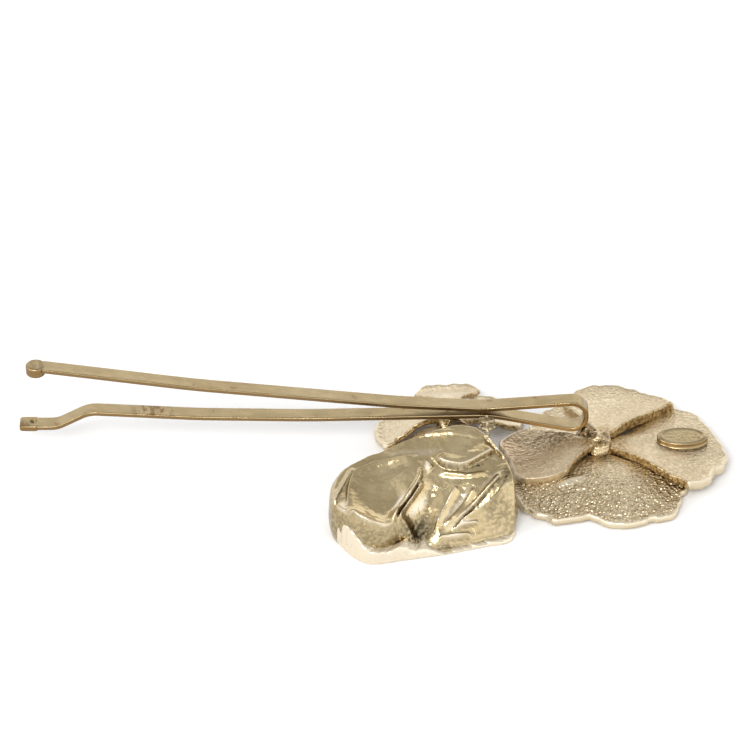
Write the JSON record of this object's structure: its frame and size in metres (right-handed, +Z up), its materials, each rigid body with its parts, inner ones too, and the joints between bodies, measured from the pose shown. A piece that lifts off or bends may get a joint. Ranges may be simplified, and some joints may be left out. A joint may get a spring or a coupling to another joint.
{
  "type": "spring hair slide",
  "caption": "Folded flat-strip spring hair slide in pale gold metal, with a large and a small flower on its back and a blossom hanging on a short chain of rings.",
  "frame": {"origin": "under the middle of the bounding box, on the surface that the slide lies on, face down", "axes": "+X from the open tips of the strip towards its bow, +Z up, away from the faces of the flowers; the blossom lies on the -Y side"},
  "size_m": [0.0846, 0.0336, 0.0126],
  "materials": {
    "strip": "satin pale gold with brown tarnish spots",
    "tip": "satin pale gold",
    "ring": "bright pale gold",
    "solder": "uneven, dull",
    "plaque": "bright pale gold, blank",
    "rivet": "uneven, bright",
    "blossom": "polished pale gold",
    "stamens": "satin pale gold",
    "petal": "matte grained pale gold"
  },
  "bodies": {
    "frame": {"lower_arm": "strip", "spring_bow": "strip", "lower_tip_pad": "tip", "large_petal_back": "petal", "large_petal_right": "petal", "large_petal_front": "petal", "large_petal_left": "petal", "large_petal_bow": "petal", "large_flower_rivet": "rivet", "large_flower_stamens": "stamens", "oval_plaque": "plaque", "bow_solder": "solder", "small_petal_back": "petal", "small_petal_left": "petal", "small_petal_front_left": "petal", "small_petal_front": "petal", "small_petal_right": "petal", "small_flower_rivet": "rivet", "small_flower_stamens": "stamens", "arm_solder": "solder", "chain_eyelet": "ring"},
    "upper_arm": {"upper_arm": "strip", "upper_tip_bead": "tip"},
    "link_1": {"chain_link_1": "ring"},
    "link_2": {"chain_link_2": "ring"},
    "blossom": {"blossom_base": "blossom", "blossom_petal_left": "blossom", "blossom_petal_front": "blossom", "blossom_petal_right": "blossom", "blossom_petal_back": "blossom", "blossom_inner_petal_left": "blossom", "blossom_inner_petal_front": "blossom", "blossom_inner_petal_right": "blossom", "blossom_heart": "blossom", "blossom_eyelet": "ring"}
  },
  "joints": [
    {"name": "clip_open", "type": "hinge", "parent": "frame", "child": "upper_arm", "pos_m": [0.0236, 0.006, 0.00562], "axis": [0, 1, 0], "range_deg": [-1, 20], "stiffness_Nm_per_rad": 0.15, "deforming": ["spring_bow"]},
    {"name": "link_1_swing", "type": "hinge", "parent": "frame", "child": "link_1", "pos_m": [0.0133, 0.00303, 0.00623], "axis": [1, 0, 0], "range_deg": [-30, 5]},
    {"name": "link_2_swing", "type": "hinge", "parent": "link_1", "child": "link_2", "pos_m": [0.0133, 0.00174, 0.00668], "axis": [0, 0.3256, 0.9455], "range_deg": [-20, 1]},
    {"name": "blossom_swing", "type": "hinge", "parent": "link_2", "child": "blossom", "pos_m": [0.0133, 0.00046, 0.00712], "axis": [1, 0, 0], "range_deg": [-45, 5]}
  ]
}
